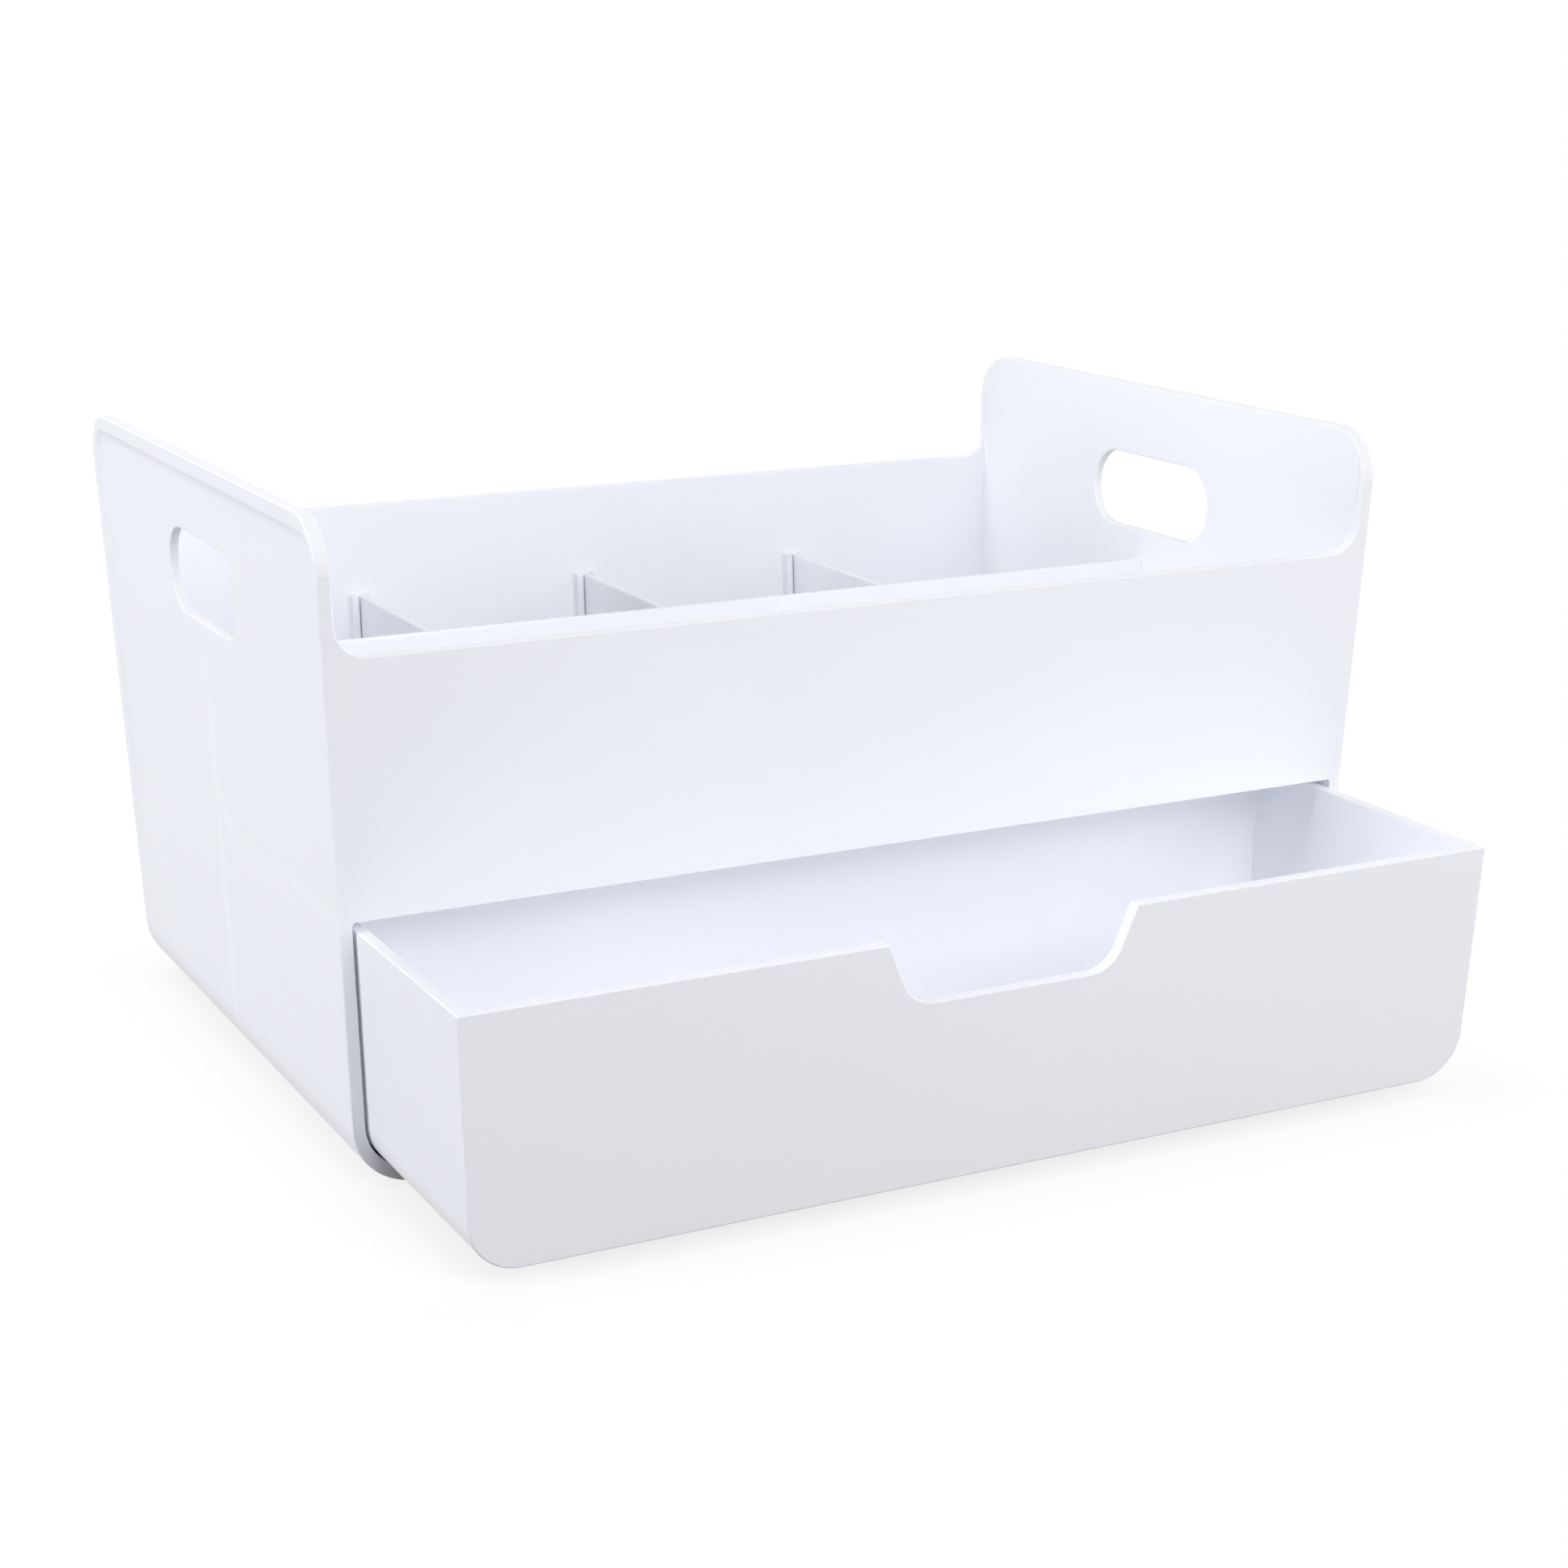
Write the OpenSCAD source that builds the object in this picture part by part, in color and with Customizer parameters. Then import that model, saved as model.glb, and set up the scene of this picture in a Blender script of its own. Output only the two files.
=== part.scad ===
// Desk caddy: a moulded carrier with two tall side panels, a front tray over a pull-out drawer,
// and a rear trough that three lift-out dividers part into four bins.
// X runs across the front, Y runs to the back and Z is up. The origin is the middle of the base.

/* [Body] */
// Outer width across the tops of the side panels
top_w = 300; // [270:1:340]
// Outer depth across the tops of the side panels
top_d = 204; // [190:1:230]
// Height of the side panels
panel_h = 167; // [160:1:190]
// Height of the front and back walls
wall_h = 134; // [125:1:140]
// Thickness of the side panels and of the front and back walls
wall_t = 3.1; // [2.4:0.1:4]
// Thickness of the floor
floor_t = 3.4; // [2.4:0.1:5]
// Outward lean of the side panels in degrees
side_draft = 2.2; // [0:0.1:3]
// Outward lean of the front and back in degrees
end_draft = 2.8; // [0:0.1:3.5]
// Radius of the two long lower edges
base_r = 16; // [10:1:20]
// Radius of the top corners of the side panels
panel_r = 14; // [6:1:18]
// Radius where the front and back walls sweep up into the side panels
wing_r = 8; // [4:1:12]

/* [Side panels] */
// Height of the raised rim along the top of a panel
rim_top = 5.3; // [4:0.1:8]
// Width of the raised rim along the front and back of a panel
rim_side = 8; // [5:0.5:12]
// Depth of the sunk field inside the rim
field_depth = 0.9; // [0.4:0.1:1.4]
// Corner radius of the sunk field
field_r = 8; // [3:0.5:12]
// How far below the base the sunk field would end, so that it runs out over the lower edge
field_runout = 2; // [1:0.5:4]
// Length of a hand slot
slot_w = 60; // [45:1:80]
// Height of a hand slot
slot_h = 22.5; // [18:0.5:26]
// Distance from the top of a panel to the middle of its hand slot
slot_drop = 32.2; // [26:0.1:36]

/* [Inner walls] */
// Distance of the long inner wall's front face behind the middle of the base
inner_front = 1.4; // [-6:0.2:8]
// Thickness of the long inner wall
inner_wall_t = 2.4; // [2:0.1:3.6]
// Height of the long inner wall
inner_wall_h = 115; // [111:1:122]
// Height of the front tray's upper surface
tray_h = 71.7; // [60:0.1:80]
// Thickness of the front tray
tray_t = 2.4; // [2:0.1:3.6]
// Radius of the sweep from the front tray up into the inner wall
tray_r = 14; // [4:1:20]
// Radius of the drawer opening's top corners
opening_r = 1.2; // [0.6:0.1:3]

/* [Dividers] */
// Distance between dividers
divider_pitch = 73; // [62:0.5:80]
// Thickness of a divider
divider_t = 2.2; // [1.6:0.1:3]
// Height of a divider's top edge above the base
divider_top = 107.6; // [95:0.1:110]
// Radius of a divider's top corners
divider_r = 2; // [0.5:0.5:5]
// Clearance of a divider in its grooves
divider_gap = 0.4; // [0.3:0.1:0.8]
// Width of a guide rib
rib_w = 2; // [1.4:0.1:3]
// How far a guide rib stands out from its wall
rib_d = 3; // [2:0.1:5]

/* [Drawer] */
// How far the drawer is pulled out
drawer_open = 67; // [0:1:85]
// Clearance at each side of the drawer
drawer_gap = 1.4; // [0.5:0.1:2]
// Clearance over the drawer
drawer_head = 2; // [0.8:0.1:3]
// Clearance under the drawer
drawer_lift = 0.4; // [0.3:0.1:1]
// Clearance behind the shut drawer
drawer_back = 0.8; // [0.4:0.1:3]
// Thickness of the drawer's sides and back
drawer_wall = 2.7; // [1.8:0.1:3.5]
// Thickness of the drawer's front
drawer_front = 3.6; // [2.4:0.1:5]
// Thickness of the drawer's bottom
drawer_floor = 2.6; // [1.8:0.1:4]
// Width of the finger notch at the top
notch_top_w = 69; // [60:1:90]
// Width of the finger notch at the bottom
notch_bottom_w = 56; // [40:1:58]
// Depth of the finger notch
notch_depth = 16.3; // [10:0.1:25]
// Radius of the finger notch's lower corners
notch_r = 6; // [2:0.5:8]

/* [Hidden] */
$fn = 96;
plastic = "ghostwhite";
// Number of dividers, each of which is a node
divider_count = 3;
// Length by which a cutting shape passes the surface that it cuts
pass = 5;
// Length of a sweep that runs right through the whole object
through = 2 * (top_w + top_d);
// Rear face of the long inner wall
inner_back = inner_front + inner_wall_t;
// Top of every cut that is open upwards
open_top = panel_h + pass;
// Corner radius inside the long lower edges
inside_r = base_r - wall_t;
// Top of the drawer opening and of the space behind it
bay_top = tray_h - tray_t;
// Heights of the drawer's underside and rim
drawer_bottom = floor_t + drawer_lift;
drawer_top = bay_top - drawer_head;
// Distance from the body's sides to the drawer's sides
drawer_inset = wall_t + drawer_gap;
// Corner radius along the drawer's lower edges
drawer_r = inside_r - drawer_lift;
// Back of the drawer
drawer_rear = inner_front - drawer_back - drawer_open;
// Sideways spread of the finger notch for each unit of height
notch_slope = (notch_top_w - notch_bottom_w) / 2 / notch_depth;

// Half of the outer width and depth at height z
function half_w(z) = top_w / 2 - (panel_h - z) * tan(side_draft);
function half_d(z) = top_d / 2 - (panel_h - z) * tan(end_draft);

// Inner faces of the front and back walls at height z
function back_face(z) = half_d(z) - wall_t;
function front_face(z) = -back_face(z);

// Front of the drawer at height z, flush with the body's front when it is shut
function drawer_face(z) = -half_d(z) - drawer_open;

// Place of divider i across the width
function divider_x(i) = (i - (divider_count - 1) / 2) * divider_pitch;

// A corner's two tangent points, its arc's centre and its radius; a corner is [x, y, radius]
function flat(corner) = [corner[0], corner[1]];
function unit(v) = v / norm(v);
function corner_arc(before, here, after) =
    let (
        to_before = unit(flat(before) - flat(here)),
        to_after = unit(flat(after) - flat(here)),
        half_angle = acos(to_before * to_after) / 2,
        reach = here[2] / tan(half_angle),
        centre = flat(here) + unit(to_before + to_after) * here[2] / sin(half_angle)
    )
    [flat(here) + to_before * reach, flat(here) + to_after * reach, centre, here[2]];

// Convex outline with rounded corners, given anticlockwise
module rounded(corners) {
    n = len(corners);
    arcs = [for (i = [0 : n - 1]) corner_arc(corners[(i + n - 1) % n], corners[i], corners[(i + 1) % n])];
    polygon([for (arc = arcs) each arc[3] > 0 ? [arc[0], arc[1]] : [arc[0]]]);
    for (arc = arcs) {
        if (arc[3] > 0) translate(arc[2]) circle(r = arc[3]);
    }
}

// A front outline swept from front to back, and a side outline swept across
module along_y(length = through) {
    rotate([90, 0, 0]) linear_extrude(height = length, center = true) children();
}
module along_x(length = through) {
    rotate([90, 0, 90]) linear_extrude(height = length, center = true) children();
}

// Front outline between the leaning sides, set in from them, with rounded lower and upper corners
module trough(inset, bottom, lower_r, top, upper_r = 0) {
    low = half_w(bottom) - inset;
    high = half_w(top) - inset;
    rounded([[-low, bottom, lower_r], [low, bottom, lower_r], [high, top, upper_r], [-high, top, upper_r]]);
}

// Side outline of the whole body, with round top corners
module side_outline() {
    low = half_d(0);
    high = half_d(panel_h);
    rounded([[-low, 0, 0], [low, 0, 0], [high, panel_h, panel_r], [-high, panel_h, panel_r]]);
}

// Side outline of the sunk field
module field_outline() {
    top = panel_h - rim_top;
    low = half_d(-field_runout) - rim_side;
    high = half_d(top) - rim_side;
    rounded([[-low, -field_runout, 0], [low, -field_runout, 0],
        [high, top, field_r], [-high, top, field_r]]);
}

// Hand slot with round ends
module slot_outline() {
    run = slot_w - slot_h;
    translate([0, panel_h - slot_drop]) {
        square([run, slot_h], center = true);
        for (side = [-1, 1]) translate([side * run / 2, 0]) circle(d = slot_h);
    }
}

// Side outline of the space over the front tray
module tray_outline() {
    rounded([[front_face(tray_h), tray_h, 0], [inner_front, tray_h, tray_r],
        [inner_front, open_top, 0], [front_face(open_top), open_top, 0]]);
}

// Side outline of the space between the inner wall and the back wall
module rear_outline() {
    polygon([[inner_back, 0], [back_face(0), 0], [back_face(open_top), open_top], [inner_back, open_top]]);
}

// Side outline of the space over the long inner wall
module over_wall_outline() {
    low = back_face(inner_wall_h);
    high = back_face(open_top);
    polygon([[-low, inner_wall_h], [low, inner_wall_h], [high, open_top], [-high, open_top]]);
}

// Everything that is hollow from above
module upper_hollow() {
    intersection() {
        along_y() trough(wall_t, floor_t, inside_r, open_top);
        along_x() {
            tray_outline();
            rear_outline();
            over_wall_outline();
        }
    }
    along_y() trough(wall_t, wall_h, wing_r, open_top);
}

// Space that the drawer runs in, open to the front
module drawer_bay() {
    intersection() {
        along_y() trough(wall_t, floor_t, inside_r, bay_top, opening_r);
        translate([-through / 2, inner_front - through, 0]) cube([through, through, panel_h]);
    }
}

// Shallow fields sunk into the outsides of the side panels
module side_fields() {
    difference() {
        along_x() field_outline();
        along_y() trough(field_depth, -field_runout, base_r, open_top);
    }
}

// One rib on the back wall and one on the inner wall, which face each other
module rib_pair() {
    root = wall_t / 2;
    along_x(rib_w) {
        polygon([[back_face(0) - rib_d, floor_t / 2], [back_face(0) + root, floor_t / 2],
            [back_face(divider_top) + root, divider_top], [back_face(divider_top) - rib_d, divider_top]]);
        polygon([[inner_back - inner_wall_t / 2, floor_t / 2], [inner_back + rib_d, floor_t / 2],
            [inner_back + rib_d, divider_top], [inner_back - inner_wall_t / 2, divider_top]]);
    }
}

// Guide ribs at both sides of each divider
module guide_ribs() {
    offset_x = divider_t / 2 + divider_gap + rib_w / 2;
    for (i = [0 : divider_count - 1], side = [-1, 1]) {
        translate([divider_x(i) + side * offset_x, 0, 0]) rib_pair();
    }
}

module body() {
    color(plastic) {
        difference() {
            intersection() {
                along_y() trough(0, 0, base_r, panel_h);
                along_x() side_outline();
            }
            upper_hollow();
            drawer_bay();
            side_fields();
            along_x() slot_outline();
        }
        guide_ribs();
    }
}

// Divider i stands on the floor between its ribs
module divider(i) {
    color(plastic) translate([divider_x(i), 0, 0]) along_x(divider_t) {
        rounded([[inner_back + divider_gap, floor_t, 0],
            [back_face(floor_t) - divider_gap, floor_t, 0],
            [back_face(divider_top) - divider_gap, divider_top, divider_r],
            [inner_back + divider_gap, divider_top, divider_r]]);
    }
}
module divider_left() {
    divider(0);
}
module divider_centre() {
    divider(1);
}
module divider_right() {
    divider(2);
}

// Side outline of the drawer, set in from its front and back
module drawer_outline(front_inset, back_inset) {
    low = drawer_bottom - pass;
    high = drawer_top + pass;
    polygon([[drawer_face(low) + front_inset, low], [drawer_rear - back_inset, low],
        [drawer_rear - back_inset, high], [drawer_face(high) + front_inset, high]]);
}

// Finger notch, open upwards
module notch_outline() {
    low = notch_bottom_w / 2;
    high = notch_top_w / 2 + pass * notch_slope;
    rounded([[-low, drawer_top - notch_depth, notch_r], [low, drawer_top - notch_depth, notch_r],
        [high, drawer_top + pass, 0], [-high, drawer_top + pass, 0]]);
}

module drawer() {
    color(plastic) difference() {
        intersection() {
            along_y() trough(drawer_inset, drawer_bottom, drawer_r, drawer_top);
            along_x() drawer_outline(0, 0);
        }
        intersection() {
            along_y()
                trough(drawer_inset + drawer_wall, drawer_bottom + drawer_floor, drawer_r - drawer_wall,
                    drawer_top + pass);
            along_x() drawer_outline(drawer_front, drawer_wall);
        }
        translate([0, drawer_face(drawer_top), 0]) along_y(2 * (drawer_front + pass)) notch_outline();
    }
}

body();
drawer();
divider_left();
divider_centre();
divider_right();
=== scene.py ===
"""Looks of a desk caddy: softened mouldings in satin white plastic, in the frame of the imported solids."""
import logging
import math
from dataclasses import dataclass, field
from enum import Enum
from typing import Any, Callable

import bmesh
import bpy
from mathutils import Matrix, Vector


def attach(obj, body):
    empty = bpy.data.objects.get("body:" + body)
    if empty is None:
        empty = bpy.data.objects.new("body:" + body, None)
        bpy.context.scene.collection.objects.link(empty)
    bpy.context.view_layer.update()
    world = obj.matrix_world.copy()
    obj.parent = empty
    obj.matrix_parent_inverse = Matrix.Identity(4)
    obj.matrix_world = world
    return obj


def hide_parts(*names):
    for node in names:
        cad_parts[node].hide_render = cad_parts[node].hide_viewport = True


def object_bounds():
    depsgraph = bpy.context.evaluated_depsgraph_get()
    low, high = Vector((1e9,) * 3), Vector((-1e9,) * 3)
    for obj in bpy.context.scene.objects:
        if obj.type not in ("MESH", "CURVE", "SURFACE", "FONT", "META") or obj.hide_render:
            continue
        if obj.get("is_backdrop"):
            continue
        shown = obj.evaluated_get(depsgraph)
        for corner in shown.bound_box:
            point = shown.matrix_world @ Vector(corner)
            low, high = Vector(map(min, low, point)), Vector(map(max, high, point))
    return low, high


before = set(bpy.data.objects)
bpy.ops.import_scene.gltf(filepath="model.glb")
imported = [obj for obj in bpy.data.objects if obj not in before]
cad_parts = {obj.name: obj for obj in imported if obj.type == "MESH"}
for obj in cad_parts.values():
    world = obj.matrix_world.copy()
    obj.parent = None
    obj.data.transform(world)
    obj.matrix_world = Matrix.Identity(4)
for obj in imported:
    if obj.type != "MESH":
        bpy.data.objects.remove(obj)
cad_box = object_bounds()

log = logging.getLogger("desk_caddy")

MM = 0.001
TOUCH = 0.001 * MM
NEAR = 0.01 * MM
DOUBLED = 0.03 * MM
EIGHTH = math.radians(45.0)
WHITE = (1.0, 1.0, 1.0, 1.0)

Corner = tuple[float, float, float]
Colour = tuple[float, float, float]


class Side(Enum):
    """A side of a block: the axis that it faces along, and which way."""

    LEFT = (0, -1)
    RIGHT = (0, 1)
    FRONT = (1, -1)
    BACK = (1, 1)
    BOTTOM = (2, -1)
    TOP = (2, 1)


class Join(Enum):
    """How a tool block meets a moulding."""

    CUT = "DIFFERENCE"
    FUSE = "UNION"


class Block:
    """A box in the making, whose edges can be rounded and whose shape can lean."""

    least_steps = 8
    steps_per_mm = 1.5

    def __init__(self, low: Corner, high: Corner) -> None:
        """Make a sharp box.

        Args:
            low: The corner with the lowest coordinates.
            high: The corner with the highest coordinates.
        """
        self.low = low
        self.high = high
        self.shape = bmesh.new()
        bmesh.ops.create_cube(self.shape, size=1.0)
        for corner in self.shape.verts:
            corner.co = Vector(far if at > 0 else near for at, near, far in zip(corner.co, low, high))

    def lies_on(self, vert: bmesh.types.BMVert, side: Side) -> bool:
        """Tell whether a vertex lies on one side of the sharp box.

        Args:
            vert: The vertex.
            side: The side.

        Returns:
            Whether it lies in the plane of that side.
        """
        axis, way = side.value
        plane = self.high if way > 0 else self.low
        return abs(vert.co[axis] - plane[axis]) < TOUCH

    def edges_on(self, *sides: Side) -> list[bmesh.types.BMEdge]:
        """List the edges that lie on all of some sides.

        Args:
            sides: One side for the edges in its plane, or two for the edge between them.

        Returns:
            The edges whose two ends lie on every side given.
        """
        return [
            edge for edge in self.shape.edges
            if all(self.lies_on(vert, side) for vert in edge.verts for side in sides)
        ]

    def bevel(self, edges: list[bmesh.types.BMEdge], radius: float) -> None:
        """Round some edges with enough steps to look round.

        Args:
            edges: The edges.
            radius: Radius of the rounding.
        """
        steps = max(self.least_steps, round(self.steps_per_mm * radius / MM))
        bmesh.ops.bevel(
            self.shape, geom=edges, offset=radius, offset_type="OFFSET", segments=steps,
            profile=0.5, affect="EDGES", clamp_overlap=False, material=-1,
        )

    def rounded(self, radius: float, *corners: tuple[Side, Side]) -> "Block":
        """Round the edges between pairs of sides.

        Args:
            radius: Radius of the rounding.
            corners: Pairs of sides, each of which meets in one edge.

        Returns:
            The same block.
        """
        self.bevel([edge for pair in corners for edge in self.edges_on(*pair)], radius)
        return self

    def rim_rounded(self, radius: float, side: Side) -> "Block":
        """Round all the edges around one side.

        Args:
            radius: Radius of the rounding.
            side: The side whose outline is rounded.

        Returns:
            The same block.
        """
        outline = [
            edge for edge in self.edges_on(side)
            if sum(all(self.lies_on(vert, side) for vert in face.verts) for face in edge.link_faces) == 1
        ]
        self.bevel(outline, radius)
        return self

    def spread(self, side: Side, by: float) -> "Block":
        """Widen one end of the block to the left and right.

        Args:
            side: The end that is widened.
            by: How far each edge of that end moves out.

        Returns:
            The same block.
        """
        for way in (Side.LEFT, Side.RIGHT):
            corners = [v for v in self.shape.verts if self.lies_on(v, side) and self.lies_on(v, way)]
            bmesh.ops.translate(self.shape, verts=corners, vec=(way.value[1] * by, 0.0, 0.0))
        return self

    def leaned(self, slope: float, foot: float) -> "Block":
        """Lean the block to the right.

        Args:
            slope: Shift to the right for each unit of height.
            foot: The height at which nothing shifts.

        Returns:
            The same block.
        """
        shear = Matrix.Identity(4)
        shear[0][2] = slope
        shear[0][3] = -slope * foot
        bmesh.ops.transform(self.shape, matrix=shear, verts=self.shape.verts)
        return self

    def turned(self, axis: str) -> "Block":
        """Turn the block by an eighth about an axis through the origin, so that an edge points out.

        Args:
            axis: Letter of the axis.

        Returns:
            The same block.
        """
        turn = Matrix.Rotation(EIGHTH, 3, axis)
        bmesh.ops.rotate(self.shape, cent=(0.0, 0.0, 0.0), matrix=turn, verts=self.shape.verts)
        return self

    def moved(self, offset: Corner) -> "Block":
        """Move the block."""
        bmesh.ops.translate(self.shape, vec=offset, verts=self.shape.verts)
        return self

    def mirrored(self) -> "Block":
        """Swap left and right, with the faces still pointing outwards.

        Returns:
            The same block.
        """
        bmesh.ops.scale(self.shape, vec=(-1.0, 1.0, 1.0), verts=self.shape.verts)
        bmesh.ops.reverse_faces(self.shape, faces=self.shape.faces)
        return self

    def to_object(self, name: str) -> bpy.types.Object:
        """Hand the shape over to a new object in the scene.

        Args:
            name: Name of the object.

        Returns:
            The object, at the origin.
        """
        mesh = bpy.data.meshes.new(name)
        self.shape.to_mesh(mesh)
        self.shape.free()
        made = bpy.data.objects.new(name, mesh)
        bpy.context.scene.collection.objects.link(made)
        return made


@dataclass(frozen=True)
class Draft:
    """Outward lean of the outer walls, counted down from the tops of the side panels."""

    top: float = 167.0 * MM
    side: float = math.tan(math.radians(2.2))
    end: float = math.tan(math.radians(2.8))
    side_from: float = 100.0 * MM
    end_from: float = 85.0 * MM
    end_top: float = 153.0 * MM

    def apply(self, mesh: bpy.types.Mesh) -> None:
        """Lean the walls, but not the middle or the panels' upper corners.

        Args:
            mesh: A mesh that was built upright.
        """
        for vert in mesh.vertices:
            x, y, z = vert.co
            if abs(x) > self.side_from:
                vert.co.x -= math.copysign((self.top - z) * self.side, x)
            if abs(y) > self.end_from:
                vert.co.y -= math.copysign((self.top - min(z, self.end_top)) * self.end, y)


class Moulding:
    """A plastic piece in the making: blocks fused and cut upright, then leaned and softened."""

    flat_angle = math.radians(0.2)
    sharp_angle = math.radians(50.0)
    crease_angle = math.radians(60.0)
    soft_steps = 4
    flat_weight = 100

    def __init__(self, name: str, blank: Block) -> None:
        """Start a piece from its blank.

        Args:
            name: Name of the piece.
            blank: The block that it is cut from.
        """
        self.object = blank.to_object(name)

    def settle(self) -> None:
        """Make the modified shape the piece's own mesh."""
        bpy.context.view_layer.update()
        shown = self.object.evaluated_get(bpy.context.evaluated_depsgraph_get())
        mesh = bpy.data.meshes.new_from_object(shown)
        old = self.object.data
        self.object.modifiers.clear()
        self.object.data = mesh
        bpy.data.meshes.remove(old)
        mesh.name = self.object.name

    def combine(self, join: Join, *tools: Block) -> None:
        """Cut or fuse blocks, one after the other.

        Args:
            join: Whether the blocks are taken away or added.
            tools: The blocks.
        """
        for tool in tools:
            cutter = tool.to_object("tool")
            step = self.object.modifiers.new("step", "BOOLEAN")
            step.operation = join.value
            step.solver = "EXACT"
            step.object = cutter
            self.settle()
            used = cutter.data
            bpy.data.objects.remove(cutter)
            bpy.data.meshes.remove(used)
            self.sort()

    def sort(self) -> None:
        """Order points and faces by their places, because a cut leaves them in a new order on each run."""
        cut = bmesh.new()
        cut.from_mesh(self.object.data)
        order = sorted(cut.verts, key=lambda vert: vert.co[:])
        rank = {vert: number for number, vert in enumerate(order)}
        outlines = []
        for face in cut.faces:
            outline = [rank[vert] for vert in face.verts]
            first = outline.index(min(outline))
            outlines.append(outline[first:] + outline[:first])
        steady = bmesh.new()
        points = [steady.verts.new(vert.co) for vert in order]
        for outline in sorted(outlines):
            steady.faces.new([points[number] for number in outline])
        steady.to_mesh(self.object.data)
        cut.free()
        steady.free()

    def tidy(self) -> None:
        """Merge doubled points and the flat faces that the cuts left in pieces."""
        shape = bmesh.new()
        shape.from_mesh(self.object.data)
        bmesh.ops.remove_doubles(shape, verts=shape.verts, dist=DOUBLED)
        bmesh.ops.dissolve_limit(
            shape, angle_limit=self.flat_angle, use_dissolve_boundaries=False,
            verts=shape.verts, edges=shape.edges, delimit=set(),
        )
        shape.to_mesh(self.object.data)
        shape.free()

    def mark_edges(self, softness: Callable[[Vector], float] = lambda middle: 1.0) -> None:
        """Choose how far each sharp edge is rounded.

        Args:
            softness: Gives the share of the full radius from the middle of an edge.
        """
        shape = bmesh.new()
        shape.from_mesh(self.object.data)
        weight = shape.edges.layers.float.new("bevel_weight_edge")
        for edge in shape.edges:
            if edge.calc_face_angle(0.0) > self.sharp_angle:
                start, end = edge.verts
                edge[weight] = softness((start.co + end.co) / 2)
        shape.to_mesh(self.object.data)
        shape.free()

    def soften(self, radius: float) -> None:
        """Round the marked edges, inside corners too.

        Args:
            radius: Radius of the rounding on an edge of full softness.
        """
        soft = self.object.modifiers.new("soft edges", "BEVEL")
        soft.width = radius
        soft.segments = self.soft_steps
        soft.limit_method = "WEIGHT"
        soft.use_clamp_overlap = False
        self.settle()

    def smooth(self) -> None:
        """Shade the piece smoothly, with its flat faces and its few creases kept."""
        self.object.data.shade_smooth()
        shape = bmesh.new()
        shape.from_mesh(self.object.data)
        for edge in shape.edges:
            edge.smooth = edge.calc_face_angle(0.0) < self.crease_angle
        shape.to_mesh(self.object.data)
        shape.free()
        flat = self.object.modifiers.new("flat faces", "WEIGHTED_NORMAL")
        flat.mode = "FACE_AREA"
        flat.weight = self.flat_weight
        flat.keep_sharp = True

    def dress(self, material: bpy.types.Material) -> None:
        """Give the whole piece one material."""
        self.object.data.materials.clear()
        self.object.data.materials.append(material)

    def hand_over(self, body: str, node: str, slot: str) -> None:
        """Tie the piece to the frame.

        Args:
            body: The moving body that it rides on.
            node: The solid that it stands for.
            slot: The record's material slot; not used.
        """
        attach(self.object, body)
        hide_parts(node)
        log.info("%s stands for %s and rides on %s", self.object.name, node, body)


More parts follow.
